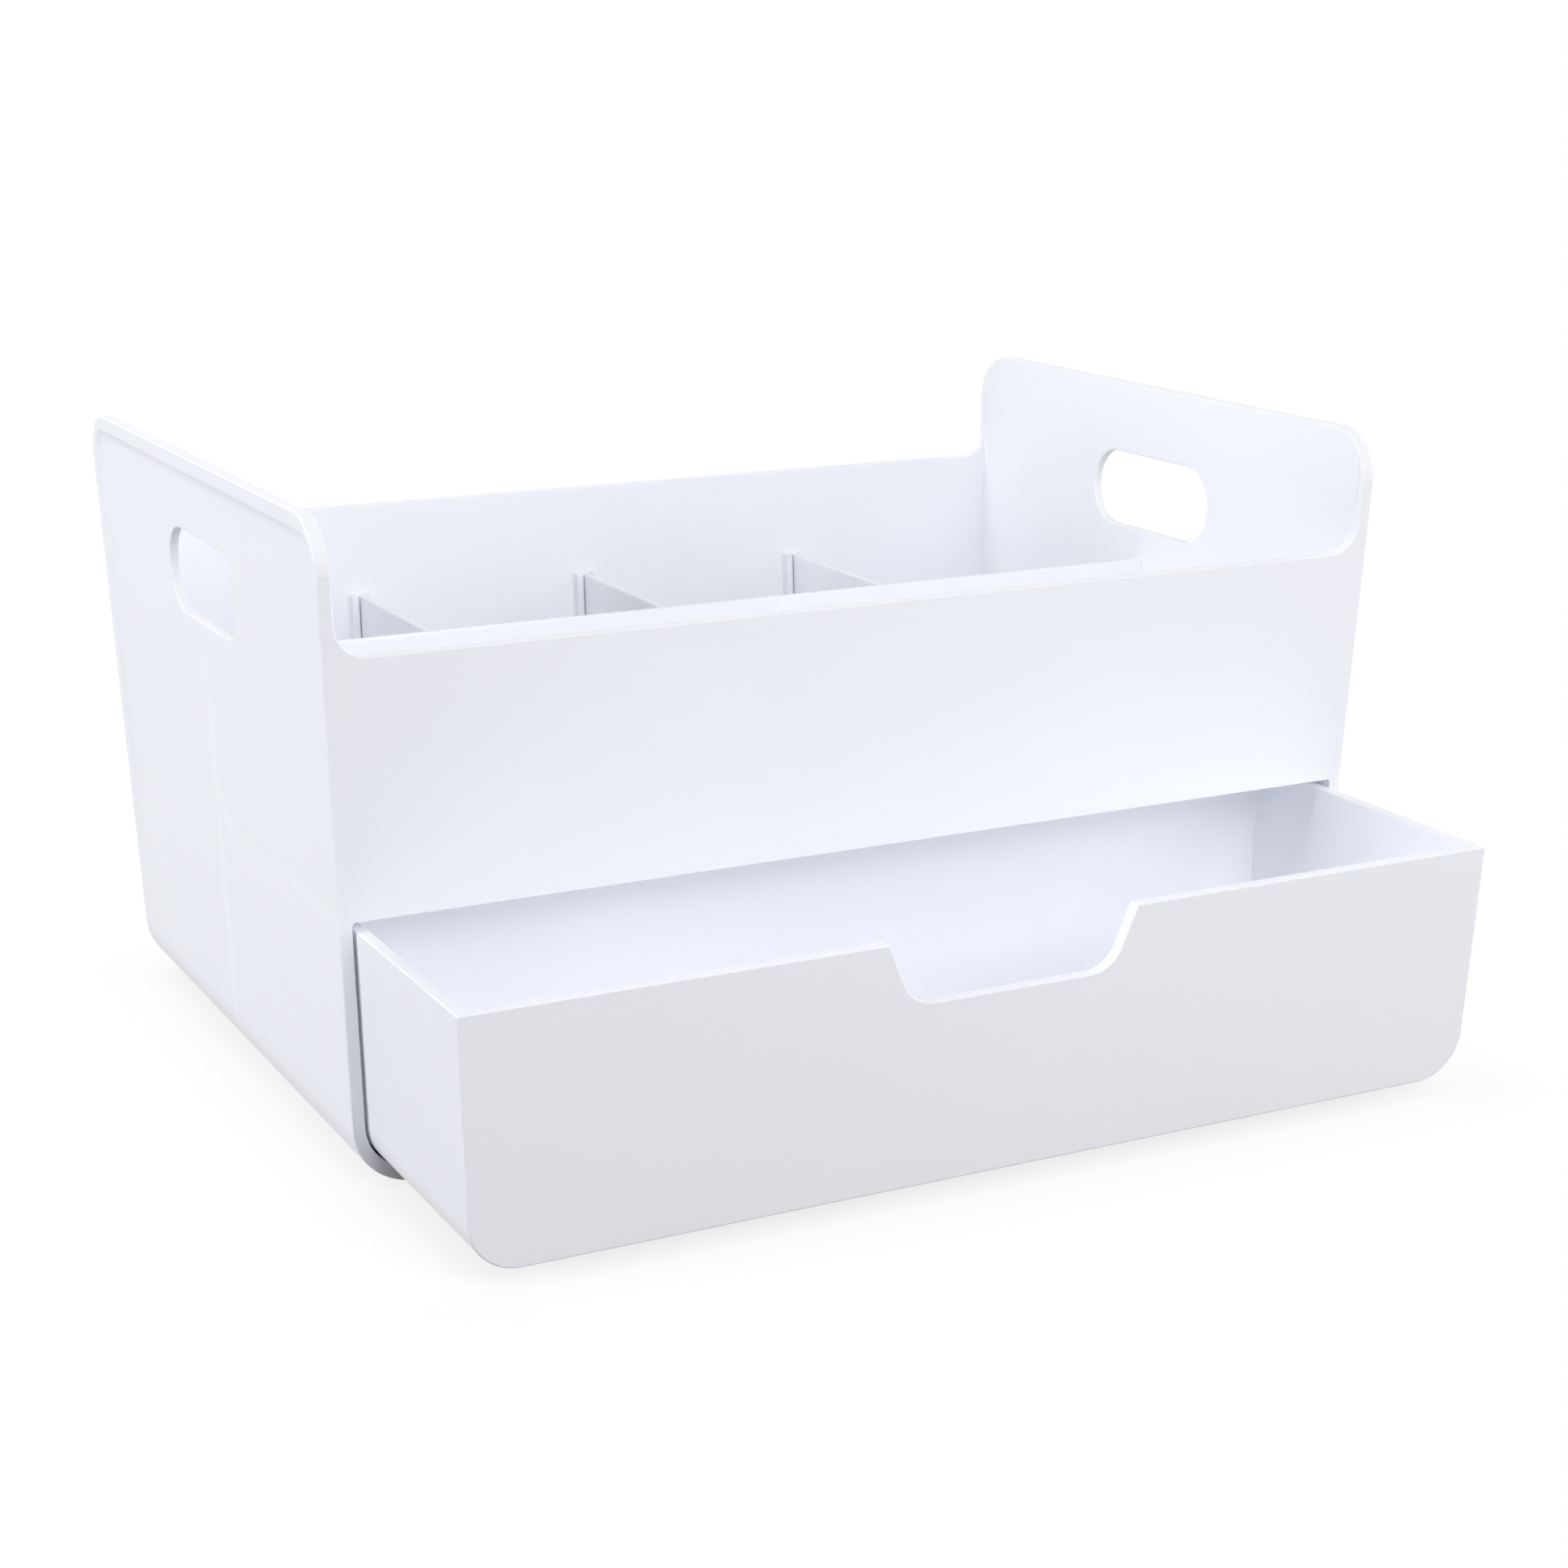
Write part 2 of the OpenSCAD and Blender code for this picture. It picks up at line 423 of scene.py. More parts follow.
@dataclass
class CaddyShell:
    """The body: side panels, walls, floor, inner wall and front tray in one moulding."""

    half_w: float = 150.0 * MM
    half_d: float = 101.93 * MM
    height: float = 167.0 * MM
    wall_h: float = 134.0 * MM
    wall: float = 3.1 * MM
    side_wall: float = 3.6 * MM
    bay_wall: float = 3.3 * MM
    floor: float = 3.4 * MM
    base_r: float = 16.0 * MM
    panel_r: float = 14.0 * MM
    wing_r: float = 8.0 * MM
    wing_fade: float = 0.6
    field_rim_top: float = 1.35 * MM
    field_rim_front: float = 0.9 * MM
    field_rim_back: float = 2.4 * MM
    field_depth: float = 1.2 * MM
    field_end: float = 16.0 * MM
    field_r: float = 8.9 * MM
    field_cove: float = 6.0 * MM
    field_clear: float = 24.0 * MM
    slot_half_w: float = 30.0 * MM
    slot_half_h: float = 11.25 * MM
    slot_drop: float = 32.2 * MM
    inner_front: float = 1.4 * MM
    inner_wall: float = 2.4 * MM
    inner_h: float = 115.0 * MM
    tray_h: float = 71.7 * MM
    tray: float = 2.4 * MM
    tray_r: float = 14.0 * MM
    opening_r: float = 1.2 * MM
    divider_pitch: float = 73.0 * MM
    divider: float = 2.2 * MM
    divider_gap: float = 0.4 * MM
    rib_w: float = 2.0 * MM
    rib_d: float = 3.0 * MM
    rib_h: float = 107.6 * MM
    soft_r: float = 0.5 * MM
    corner_softness: float = 0.42
    guide_softness: float = 0.55
    seam_h: float = 153.0 * MM
    seam_half: float = 0.12 * MM
    core_line_half: float = 0.18 * MM
    core_line_y: float = 99.0 * MM
    core_line_ends: tuple[float, float] = (147.5 * MM, 161.0 * MM)
    through: float = 5.0 * MM
    draft: Draft = field(default_factory=Draft)

    @property
    def inside_w(self) -> float:
        """Half of the width between the side panels."""
        return self.half_w - self.side_wall

    @property
    def bay_w(self) -> float:
        """Half of the width of the drawer bay."""
        return self.half_w - self.bay_wall

    @property
    def inside_d(self) -> float:
        """Half of the depth between the front and back walls."""
        return self.half_d - self.wall

    @property
    def inside_r(self) -> float:
        """Radius of the lower edges on the inside."""
        return self.base_r - self.wall

    @property
    def inner_back(self) -> float:
        """Rear face of the inner wall."""
        return self.inner_front + self.inner_wall

    @property
    def open_top(self) -> float:
        """Height that is clear of the whole piece."""
        return self.height + self.through

    def blank(self) -> Block:
        """Make the outer form with its round lower edges and panel corners.

        Returns:
            The form, upright and without hollows.
        """
        block = Block((-self.half_w, -self.half_d, 0.0), (self.half_w, self.half_d, self.height))
        block.rounded(self.base_r, (Side.BOTTOM, Side.LEFT), (Side.BOTTOM, Side.RIGHT))
        return block.rounded(self.panel_r, (Side.TOP, Side.FRONT), (Side.TOP, Side.BACK))

    def hollow(self, front: float, back: float, bottom: float, top: float) -> Block:
        """Make a space from one side panel to the other.

        Args:
            front: Front face.
            back: Back face.
            bottom: Lower face.
            top: Upper face.

        Returns:
            The sharp space.
        """
        return Block((-self.inside_w, front, bottom), (self.inside_w, back, top))

    def hollows(self) -> list[Block]:
        """Make the rear trough, the front tray, the saddle between the panels and the drawer bay.

        Returns:
            The spaces, in the order in which they are cut.
        """
        lower_edges = ((Side.BOTTOM, Side.LEFT), (Side.BOTTOM, Side.RIGHT))
        upper_edges = ((Side.TOP, Side.LEFT), (Side.TOP, Side.RIGHT))
        clear = self.half_d + self.through
        rear = self.hollow(self.inner_back, self.inside_d, self.floor, self.open_top)
        tray = self.hollow(-self.inside_d, self.inner_front, self.tray_h, self.open_top)
        over_wall = self.hollow(
            self.inner_front - self.wall, self.inner_back + self.wall, self.inner_h, self.open_top,
        )
        saddle = self.hollow(-clear, clear, self.wall_h, self.open_top)
        bay = Block(
            (-self.bay_w, -clear, self.floor), (self.bay_w, self.inner_front, self.tray_h - self.tray),
        )
        return [
            rear.rounded(self.inside_r, *lower_edges),
            tray.rounded(self.tray_r, (Side.BOTTOM, Side.BACK)),
            over_wall,
            saddle.rounded(self.wing_r, *lower_edges),
            bay.rounded(self.inside_r, *lower_edges).rounded(self.opening_r, *upper_edges),
        ]

    def sunk_field(self) -> Block:
        """Make the shallow field of the right panel, which runs out towards the base.

        Returns:
            The cutter, with a cove round its rim.
        """
        front = self.field_rim_front - self.half_d
        back = self.half_d - self.field_rim_back
        top = self.height - self.field_rim_top
        block = Block(
            (self.half_w - self.field_depth, front, self.field_end),
            (self.half_w + self.field_clear, back, top),
        )
        block.rounded(self.field_r, (Side.TOP, Side.FRONT), (Side.TOP, Side.BACK))
        block.rim_rounded(self.field_cove, Side.LEFT)
        return block.leaned(-self.field_depth / (top - self.field_end), top)

    def hand_slots(self) -> Block:
        """Make the hand slots of both panels in one bar with round ends.

        Returns:
            The bar.
        """
        middle = self.height - self.slot_drop
        clear = self.half_w + self.through
        block = Block(
            (-clear, -self.slot_half_w, middle - self.slot_half_h),
            (clear, self.slot_half_w, middle + self.slot_half_h),
        )
        ends = [(end, level) for end in (Side.FRONT, Side.BACK) for level in (Side.BOTTOM, Side.TOP)]
        return block.rounded(self.slot_half_h - NEAR, *ends)

    def ribs(self) -> list[Block]:
        """Make the guide ribs, in pairs on the back wall and on the inner wall.

        Returns:
            The ribs, rooted in the floor and the walls.
        """
        offset = self.divider / 2 + self.divider_gap
        root = self.floor / 2
        made = []
        for place in (-1, 0, 1):
            for way in (-1, 1):
                near = place * self.divider_pitch + way * offset
                far = near + way * self.rib_w
                low, high = min(near, far), max(near, far)
                made.append(Block(
                    (low, self.inside_d - self.rib_d, root),
                    (high, self.inside_d + self.wall / 2, self.rib_h),
                ))
                made.append(Block(
                    (low, self.inner_back - self.inner_wall / 2, root),
                    (high, self.inner_back + self.rib_d, self.rib_h),
                ))
        return made

    def softness(self, middle: Vector) -> float:
        """Round the guides and upright inside corners little, and the wings less as they thin out.

        Args:
            middle: Middle of an edge of the upright shell.

        Returns:
            Share of the full radius.
        """
        across = abs(middle.x)
        out = max(0.0, across - self.bay_w + self.inside_r)
        down = max(0.0, self.floor + self.inside_r - middle.z)
        on_front = abs(middle.y + self.half_d) < NEAR and middle.z < self.tray_h
        in_trough = (
            self.inner_back - TOUCH < middle.y < self.inside_d + TOUCH and middle.z < self.rib_h + TOUCH
        )
        if on_front and math.hypot(out, down) < self.inside_r + self.soft_r:
            return self.guide_softness
        if in_trough and across < self.draft.side_from:
            return self.guide_softness
        on_inner_face = abs(abs(middle.y) - self.inside_d) < NEAR
        past_wall = across - (self.inside_w - self.wing_r)
        if not on_inner_face or past_wall < 0.0:
            return 1.0
        if past_wall > self.wing_r - NEAR:
            return self.corner_softness
        return min(1.0, max(0.0, 1.0 - (middle.z - self.wall_h) / (self.wing_fade * self.wing_r)))

    def parting_lines(self) -> list[Block]:
        """Make the cutters of the fine mould lines on the edges and insides of the panels.

        Returns:
            Square rods that bite into the surface with one edge.
        """
        thin, fine = self.seam_half, self.core_line_half
        low, high = self.core_line_ends
        drop = self.draft.top - self.seam_h
        edge_x = self.half_w - self.side_wall / 2 - drop * self.draft.side
        edge_y = self.half_d - drop * self.draft.end
        inside = self.inside_w - (self.draft.top - low) * self.draft.side
        made = []
        for left_right in (-1, 1):
            for front_back in (-1, 1):
                across = Block((-self.wall, -thin, -thin), (self.wall, thin, thin)).turned("X")
                made.append(across.moved((left_right * edge_x, front_back * edge_y, self.seam_h)))
            upright = Block((-fine, -fine, 0.0), (fine, fine, high - low)).turned("Z")
            upright.leaned(self.draft.side, 0.0).moved((inside, -self.core_line_y, low))
            made.append(upright if left_right > 0 else upright.mirrored())
        return made

    def build(self) -> Moulding:
        """Cut, lean and soften the shell.

        Returns:
            The finished piece, not yet dressed.
        """
        piece = Moulding("caddy_shell", self.blank())
        piece.combine(Join.CUT, *self.hollows())
        piece.combine(Join.CUT, self.sunk_field(), self.sunk_field().mirrored(), self.hand_slots())
        piece.combine(Join.FUSE, *self.ribs())
        piece.tidy()
        piece.mark_edges(self.softness)
        self.draft.apply(piece.object.data)
        piece.soften(self.soft_r)
        piece.combine(Join.CUT, *self.parting_lines())
        piece.smooth()
        return piece


@dataclass
class Drawer:
    """The pull-out drawer, an open box with a finger notch in its front."""

    half_w: float = 146.0 * MM
    front: float = -169.0 * MM
    back: float = -66.4 * MM
    bottom: float = 3.8 * MM
    top: float = 67.3 * MM
    wall: float = 3.2 * MM
    front_wall: float = 3.6 * MM
    floor: float = 2.6 * MM
    edge_r: float = 12.5 * MM
    notch_bottom: float = 28.0 * MM
    notch_top: float = 34.5 * MM
    notch_depth: float = 16.3 * MM
    notch_r: float = 6.0 * MM
    soft_r: float = 0.5 * MM
    through: float = 5.0 * MM
    draft: Draft = field(default_factory=Draft)

    def build(self) -> Moulding:
        """Cut, lean and soften the drawer.

        Returns:
            The finished piece, not yet dressed.
        """
        lower_edges = ((Side.BOTTOM, Side.LEFT), (Side.BOTTOM, Side.RIGHT))
        blank = Block((-self.half_w, self.front, self.bottom), (self.half_w, self.back, self.top))
        inside_w = self.half_w - self.wall
        inside = Block(
            (-inside_w, self.front + self.front_wall, self.bottom + self.floor),
            (inside_w, self.back - self.wall, self.top + self.through),
        )
        spread = (self.notch_top - self.notch_bottom) * (1.0 + self.through / self.notch_depth)
        notch = Block(
            (-self.notch_bottom, self.front - self.through, self.top - self.notch_depth),
            (self.notch_bottom, self.front + self.front_wall + self.through, self.top + self.through),
        )
        piece = Moulding("sliding_drawer", blank.rounded(self.edge_r, *lower_edges))
        piece.combine(
            Join.CUT,
            inside.rounded(self.edge_r - self.wall, *lower_edges),
            notch.spread(Side.TOP, spread).rounded(self.notch_r, *lower_edges),
        )
        piece.tidy()
        piece.mark_edges()
        self.draft.apply(piece.object.data)
        piece.soften(self.soft_r)
        piece.smooth()
        return piece


@dataclass
class DividerPlate:
    """A flat plate that stands loose between two pairs of ribs."""

    name: str
    middle: float
    thickness: float = 2.2 * MM
    front: float = 4.2 * MM
    back: float = 98.5 * MM
    bottom: float = 3.4 * MM
    top: float = 107.6 * MM
    corner_r: float = 2.0 * MM
    soft_r: float = 0.6 * MM
    side_softness: float = 0.4
    draft: Draft = field(default_factory=Draft)

    def softness(self, middle: Vector) -> float:
        """Round the top edges fully and the upright ends little."""
        return 1.0 if middle.z > self.top - self.corner_r else self.side_softness

    def build(self) -> Moulding:
        """Round, lean and soften the plate.

        Returns:
            The finished piece, not yet dressed.
        """
        half = self.thickness / 2
        blank = Block(
            (self.middle - half, self.front, self.bottom), (self.middle + half, self.back, self.top),
        )
        blank.rounded(self.corner_r, (Side.TOP, Side.FRONT), (Side.TOP, Side.BACK))
        piece = Moulding(self.name, blank)
        piece.mark_edges(self.softness)
        self.draft.apply(piece.object.data)
        piece.soften(self.soft_r)
        piece.smooth()
        return piece


class Signal:
    """A shader value that takes part in arithmetic; each operation adds a Math node."""

    def __init__(self, graph: "ShaderGraph", socket: bpy.types.NodeSocket | None) -> None:
        """Wrap a node's output."""
        self.graph = graph
        self.socket = socket

    def math(self, operation: str, *values: Any) -> "Signal":
        """Add a Math node for one operation."""
        return self.graph.node("ShaderNodeMath", {"operation": operation}, dict(enumerate(values)))

    def __add__(self, other: Any) -> "Signal":
        """Add a value."""
        return self.math("ADD", self, other)

    def __radd__(self, other: Any) -> "Signal":
        """Add to a value."""
        return self.math("ADD", other, self)

    def __sub__(self, other: Any) -> "Signal":
        """Take away a value."""
        return self.math("SUBTRACT", self, other)

    def __rsub__(self, other: Any) -> "Signal":
        """Take away from a value."""
        return self.math("SUBTRACT", other, self)

    def __mul__(self, other: Any) -> "Signal":
        """Multiply by a value."""
        return self.math("MULTIPLY", self, other)

    def __rmul__(self, other: Any) -> "Signal":
        """Multiply a value."""
        return self.math("MULTIPLY", other, self)

    def __abs__(self) -> "Signal":
        """Drop the sign."""
        return self.math("ABSOLUTE", self)

    def least(self, other: Any) -> "Signal":
        """Take the lower of two values."""
        return self.math("MINIMUM", self, other)

    def most(self, other: Any) -> "Signal":
        """Take the higher of two values."""
        return self.math("MAXIMUM", self, other)


@dataclass(frozen=True)
class Place:
    """A point on a piece, whole and in its three parts."""

    point: Signal
    x: Signal
    y: Signal
    z: Signal


class ShaderGraph:
    """The node tree of a material or a world."""

    first_colour = 6
    second_colour = 7
    mixed_colour = 2

    def __init__(self, tree: bpy.types.NodeTree) -> None:
        """Start from an empty tree."""
        self.tree = tree
        tree.nodes.clear()

    def node(self, kind: str, settings: dict[str, Any] | None = None,
             inputs: dict[Any, Any] | None = None, output: Any = 0) -> Signal:
        """Add a node.

        Args:
            kind: Type of the node.
            settings: Attributes of the node, set first.
            inputs: Values or signals, by the socket's name or number.
            output: Name or number of the output that is used.

        Returns:
            That output, empty where the node has none.
        """
        made = self.tree.nodes.new(kind)
        for name, value in (settings or {}).items():
            setattr(made, name, value)
        for name, value in (inputs or {}).items():
            if isinstance(value, Signal):
                self.tree.links.new(value.socket, made.inputs[name])
            else:
                made.inputs[name].default_value = value
        return Signal(self, made.outputs[output] if made.outputs else None)

    def place(self) -> Place:
        """Read the point on the piece.

        Returns:
            The point in the piece's own coordinates.
        """
        point = self.node("ShaderNodeTexCoord", output="Object")
        parts = self.node("ShaderNodeSeparateXYZ", inputs={0: point}).socket.node.outputs
        return Place(point, *(Signal(self, part) for part in parts))

    def noise(self, point: Signal, grain: float, detail: float) -> Signal:
        """Add a noise that is steady on the piece.

        Args:
            point: The point on the piece.
            grain: Size of its patches.
            detail: How many finer layers it has.

        Returns:
            A value about one half.
        """
        return self.node(
            "ShaderNodeTexNoise", inputs={"Vector": point, "Scale": 1.0 / grain, "Detail": detail},
        )

    def blend(self, factor: Signal, first: Any, second: Any) -> Signal:
        """Mix two colours.

        Args:
            factor: Share of the second colour.
            first: The first colour, with its alpha, or a signal.
            second: The second colour, with its alpha, or a signal.

        Returns:
            The mixed colour.
        """
        return self.node(
            "ShaderNodeMix", {"data_type": "RGBA"},
            {"Factor": factor, self.first_colour: first, self.second_colour: second}, self.mixed_colour,
        )

    def fade(self, distance: Signal, reach: float, near: float, far: float) -> Signal:
        """Pass smoothly from one value to another with the distance from a line or an outline.

        Args:
            distance: The distance.
            reach: The distance at which the change is over.
            near: Value at no distance.
            far: Value at the reach and beyond.

        Returns:
            The value.
        """
        return self.node(
            "ShaderNodeMapRange", {"interpolation_type": "SMOOTHSTEP"},
            {"Value": distance, "From Max": reach, "To Min": near, "To Max": far},
        )


@dataclass(frozen=True)
class MouldedPlastic:
    """Satin white plastic with the fine grain of a spark-eroded mould."""

    name: str
    colour: Colour = (0.935, 0.943, 0.969)
    drift: float = 0.012
    drift_size: float = 45.0 * MM
    drift_detail: float = 3.0
    roughness: float = 0.42
    roughness_drift: float = 0.10
    roughness_size: float = 9.0 * MM
    roughness_detail: float = 4.0
    grain_size: float = 0.55 * MM
    grain_height: float = 0.012 * MM
    grain_detail: float = 2.0
    refraction: float = 1.49

    def relief(self, graph: ShaderGraph, place: Place) -> Signal:
        """Give the height of the surface's fine relief, in metres."""
        return graph.noise(place.point, self.grain_size, self.grain_detail) * self.grain_height

    def paint_light(self, graph: ShaderGraph, place: Place, colour: Signal) -> Signal:
        """Paint no light: leave the plastic's colour as it is."""
        return colour

    def make(self) -> bpy.types.Material:
        """Build the material.

        Returns:
            The finished material.
        """
        material = bpy.data.materials.new(self.name)
        material.use_nodes = True
        graph = ShaderGraph(material.node_tree)
        place = graph.place()
        cloud = graph.noise(place.point, self.drift_size, self.drift_detail)
        dull = graph.noise(place.point, self.roughness_size, self.roughness_detail)
        light = tuple(min(1.0, part * (1.0 + self.drift)) for part in self.colour)
        dark = tuple(part * (1.0 - self.drift) for part in self.colour)
        colour = graph.blend(cloud, (*dark, 1.0), (*light, 1.0))
        roughness = dull * self.roughness_drift + (self.roughness - self.roughness_drift / 2)
        normal = graph.node(
            "ShaderNodeBump",
            inputs={"Strength": 1.0, "Distance": 1.0, "Height": self.relief(graph, place)},
        )
        surface = graph.node(
            "ShaderNodeBsdfPrincipled",
            inputs={
                "Base Color": self.paint_light(graph, place, colour), "Roughness": roughness, "Normal": normal,
                "IOR": self.refraction,
            },
        )
        graph.node("ShaderNodeOutputMaterial", inputs={"Surface": surface})
        return material


@dataclass(frozen=True)
class ShellPlastic(MouldedPlastic):
    """The same plastic, with the faint sunk lines that inner wall and tray leave outside on the panels, and
    painted light that lightens the colour along those lines.
    """

    shell: CaddyShell = field(default_factory=CaddyShell)
    sink_depth: float = 0.1 * MM
    sink_reach: float = 4.0 * MM
    # Share by which painted light lightens the colour along the joints' lines.
    painted_light_lift: float = 0.04

    def line(self, graph: ShaderGraph, distance: Signal) -> Signal:
        """Turn the distance from a joint's line into the strength of its mark, from none to full."""
        return graph.fade(abs(distance), self.sink_reach, 1.0, 0.0)

    def joints(self, graph: ShaderGraph, place: Place) -> Signal:
        """Find the lines where the inner wall and the tray join the panels.

        Args:
            graph: The material's nodes.
            place: The point on the shell.

        Returns:
            One on a line, and none away from it.
        """
        x, y, z = place.x, place.y, place.z
        shell = self.shell
        top_x = abs(x) + (shell.draft.top - z) * shell.draft.side
        outside = top_x.math("GREATER_THAN", top_x, shell.half_w - shell.wall / 2)
        below_top = z.math("LESS_THAN", z, shell.inner_h)
        wall = self.line(graph, y - (shell.inner_front + shell.inner_wall / 2)) * below_top
        behind = y - (shell.inner_front - shell.tray_r)
        under = (shell.tray_h + shell.tray_r) - z
        back, low = behind.most(0.0), under.most(0.0)
        bend = back.math("SQRT", back * back + low * low)
        tray = self.line(graph, bend + behind.most(under).least(0.0) - (shell.tray_r + shell.tray / 2))
        return wall.most(tray * below_top) * outside

    def relief(self, graph: ShaderGraph, place: Place) -> Signal:
        """Sink the joints' lines into the fine grain."""
        return super().relief(graph, place) - self.joints(graph, place) * self.sink_depth

    def paint_light(self, graph: ShaderGraph, place: Place, colour: Signal) -> Signal:
        """Paint light along the joints' lines by lightening their colour.

        Args:
            graph: The material's nodes.
            place: The point on the shell.
            colour: The plastic's colour.

        Returns:
            The colour with painted light on its lines.
        """
        # Painted light: the colour is lightened along the joints' lines.
        painted_light_colour = tuple(min(1.0, part * (1.0 + self.painted_light_lift)) for part in self.colour)
        return graph.blend(self.joints(graph, place), colour, (*painted_light_colour, 1.0))


@dataclass(frozen=True)
class PhotoCamera:
    """The camera of the photograph, worked out from the edges in it."""

    aim: Corner = (1.7 * MM, -38.1 * MM, 71.3 * MM)
    distance: float = 800.0 * MM
    azimuth: float = -26.94
    elevation: float = 15.21
    roll: float = -0.08
    lens: float = 66.63
    sensor: float = 36.0

    def place(self) -> None:
        """Put the camera in the scene and use it."""
        turn, rise = math.radians(self.azimuth), math.radians(self.elevation)
        back = Vector((math.sin(turn) * math.cos(rise), -math.cos(turn) * math.cos(rise), math.sin(rise)))
        lens = bpy.data.cameras.new("photo_camera")
        lens.lens = self.lens
        lens.sensor_width = self.sensor
        camera = bpy.data.objects.new("photo_camera", lens)
        facing = (-back).to_track_quat("-Z", "Y").to_matrix().to_4x4()
        stand = Matrix.Translation(Vector(self.aim) + back * self.distance)
        camera.matrix_world = stand @ facing @ Matrix.Rotation(math.radians(self.roll), 4, "Z")
        bpy.context.scene.collection.objects.link(camera)
        bpy.context.scene.camera = camera


@dataclass(frozen=True)
class Softbox:
    """A square lamp that shines at the caddy."""

    name: str
    stand: Corner
    side: float
    power: float
    colour: Colour = (0.968, 0.978, 1.0)
    aim: Corner = (0.0, 0.0, 0.06)

    def place(self) -> None:
        """Put the lamp in the scene, out of the gloss, so that pale faces mirror only the backdrop."""
        lamp = bpy.data.lights.new(self.name, "AREA")
        lamp.size = self.side
        lamp.energy = self.power
        lamp.color = self.colour
        made = bpy.data.objects.new(self.name, lamp)
        facing = (Vector(self.aim) - Vector(self.stand)).to_track_quat("-Z", "Y").to_matrix().to_4x4()
        made.matrix_world = Matrix.Translation(Vector(self.stand)) @ facing
        made.visible_glossy = False
        bpy.context.scene.collection.objects.link(made)


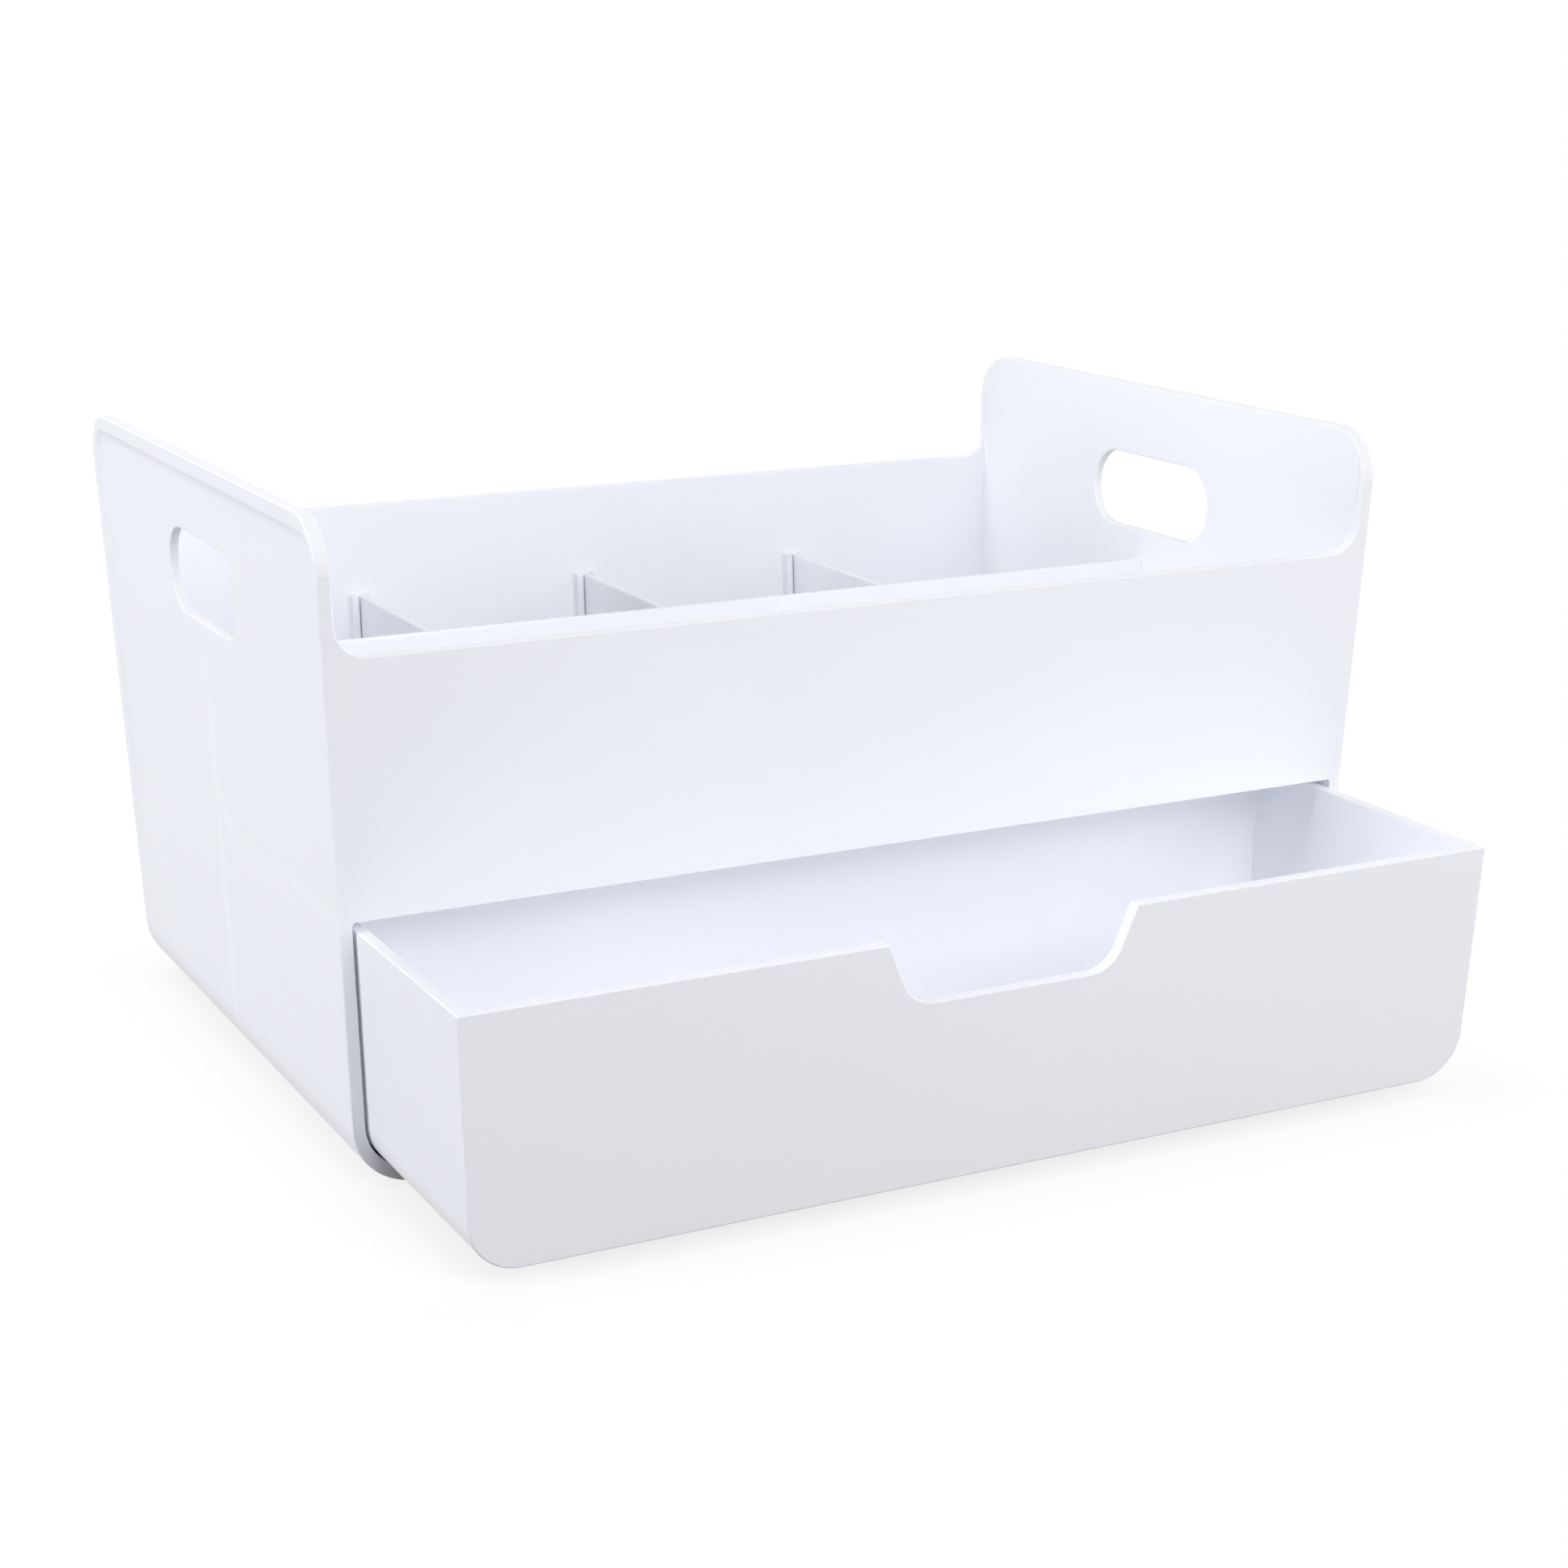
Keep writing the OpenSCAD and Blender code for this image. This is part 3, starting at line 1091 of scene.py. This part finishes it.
@dataclass(frozen=True)
class Studio:
    """Softboxes all round, a white backdrop and a pale floor that keeps the shadow of the caddy's foot."""

    bounces: int = 12
    floor_half: float = 2.5
    floor_drop: float = 0.3 * MM
    floor_colour: Colour = (0.30, 0.29, 0.30)
    floor_glow: float = 0.79
    speckle_tone: Colour = (0.96, 0.96, 0.96)
    speckle_size: float = 0.8 * MM
    speckle_detail: float = 2.0
    foot_middle: float = -32.0 * MM
    foot_half: tuple[float, float] = (140.0 * MM, 126.0 * MM)
    shadow_reach: float = 36.0 * MM
    lamps: tuple[Softbox, ...] = (
        Softbox("front_softbox", (0.1, -1.5, 0.55), 1.0, 2.4),
        Softbox("high_front_softbox", (0.0, -1.3, 1.1), 1.0, 13.2),
        Softbox("front_right_softbox", (0.9, -1.3, 0.35), 0.8, 7.3),
        Softbox("left_softbox", (-1.6, 0.1, 0.45), 0.6, 14.2, (0.935, 0.963, 1.0)),
        Softbox("right_softbox", (1.5, 0.1, 0.22), 0.7, 8.8),
        Softbox("right_back_softbox", (1.3, 0.7, 0.6), 1.0, 5.8),
        Softbox("back_softbox", (0.0, 1.5, 0.25), 0.7, 10.6),
        Softbox("high_back_softbox", (0.0, 0.8, 1.2), 1.0, 3.8),
        Softbox("high_left_softbox", (-0.8, 0.0, 1.2), 1.0, 5.2),
    )

    def seen(self, graph: ShaderGraph) -> Signal:
        """Tell the rays that show the backdrop itself from those that light the caddy.

        Args:
            graph: The nodes of the backdrop or the floor.

        Returns:
            One for a ray that shows it, and none for the others.
        """
        outputs = graph.node("ShaderNodeLightPath").socket.node.outputs
        names = ("Is Camera Ray", "Is Glossy Ray", "Is Transmission Ray")
        camera, glossy, through = (Signal(graph, outputs[name]) for name in names)
        return camera.most(glossy).most(through)

    def hang_backdrop(self) -> None:
        """Make the world show as white, without lighting the caddy."""
        world = bpy.data.worlds.new("white_backdrop")
        world.use_nodes = True
        graph = ShaderGraph(world.node_tree)
        dark = graph.node("ShaderNodeBackground", inputs={"Color": WHITE, "Strength": 0.0})
        white = graph.node("ShaderNodeBackground", inputs={"Color": WHITE, "Strength": 1.0})
        shown = graph.node("ShaderNodeMixShader", inputs={0: self.seen(graph), 1: dark, 2: white})
        graph.node("ShaderNodeOutputWorld", inputs={"Surface": shown})
        bpy.context.scene.world = world

    def floor_paper(self) -> bpy.types.Material:
        """Make the floor's paper, which turns to plain white away from the caddy's foot.

        Returns:
            The finished material.
        """
        material = bpy.data.materials.new("floor_paper")
        material.use_nodes = True
        graph = ShaderGraph(material.node_tree)
        seen = self.seen(graph)
        place = graph.place()
        speckle = graph.noise(place.point, self.speckle_size, self.speckle_detail)
        tone = graph.blend(speckle, (*self.speckle_tone, 1.0), WHITE)
        colour = graph.blend(seen, (*self.floor_colour, 1.0), tone)
        paper = graph.node("ShaderNodeBsdfDiffuse", inputs={"Color": colour})
        white = graph.node("ShaderNodeEmission", inputs={"Color": WHITE, "Strength": 1.0})
        half_w, half_d = self.foot_half
        aside = (abs(place.x) - half_w).most(0.0)
        along = (abs(place.y - self.foot_middle) - half_d).most(0.0)
        away = aside.math("SQRT", aside * aside + along * along)
        glow = graph.fade(away, self.shadow_reach, self.floor_glow, 1.0)
        surface = graph.node("ShaderNodeMixShader", inputs={0: seen * glow, 1: paper, 2: white})
        graph.node("ShaderNodeOutputMaterial", inputs={"Surface": surface})
        return material

    def lay_floor(self) -> None:
        """Lay the pale floor just under the base."""
        shape = bmesh.new()
        bmesh.ops.create_grid(shape, x_segments=1, y_segments=1, size=self.floor_half)
        bmesh.ops.translate(shape, verts=shape.verts, vec=(0.0, 0.0, -self.floor_drop))
        mesh = bpy.data.meshes.new("studio_floor")
        shape.to_mesh(mesh)
        shape.free()
        floor = bpy.data.objects.new("studio_floor", mesh)
        bpy.context.scene.collection.objects.link(floor)
        mesh.materials.append(self.floor_paper())
        floor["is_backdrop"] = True

    def build(self) -> None:
        """Set up the backdrop, the floor and the lamps."""
        bpy.context.scene.view_settings.view_transform = "Standard"
        bpy.context.scene.cycles.diffuse_bounces = self.bounces
        self.hang_backdrop()
        self.lay_floor()
        for lamp in self.lamps:
            lamp.place()


def write_sizes() -> None:
    """Work out the boxes of the solids and of the finished pieces; they are not kept or written."""
    boxes = {"cad": cad_box, "visual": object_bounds()}
    {name: [list(corner) for corner in box] for name, box in boxes.items()}


def main() -> None:
    """Build the caddy in its studio."""
    logging.basicConfig(level=logging.INFO, format="%(name)s: %(message)s")
    PhotoCamera().place()
    Studio().build()
    shell = CaddyShell()
    made = shell.build()
    made.dress(ShellPlastic("shell_plastic", shell=shell).make())
    made.hand_over("caddy_body", "body", "body_plastic")
    drawer = Drawer().build()
    drawer.dress(MouldedPlastic("drawer_plastic").make())
    drawer.hand_over("drawer", "drawer", "drawer_plastic")
    plate_plastic = MouldedPlastic("divider_plastic").make()
    for place, side in ((-1, "left"), (0, "centre"), (1, "right")):
        plate = DividerPlate(f"divider_plate_{side}", place * shell.divider_pitch).build()
        plate.dress(plate_plastic)
        plate.hand_over(f"divider_{side}", f"divider_{side}", "divider_plastic")
    write_sizes()


if __name__ == "__main__":
    main()
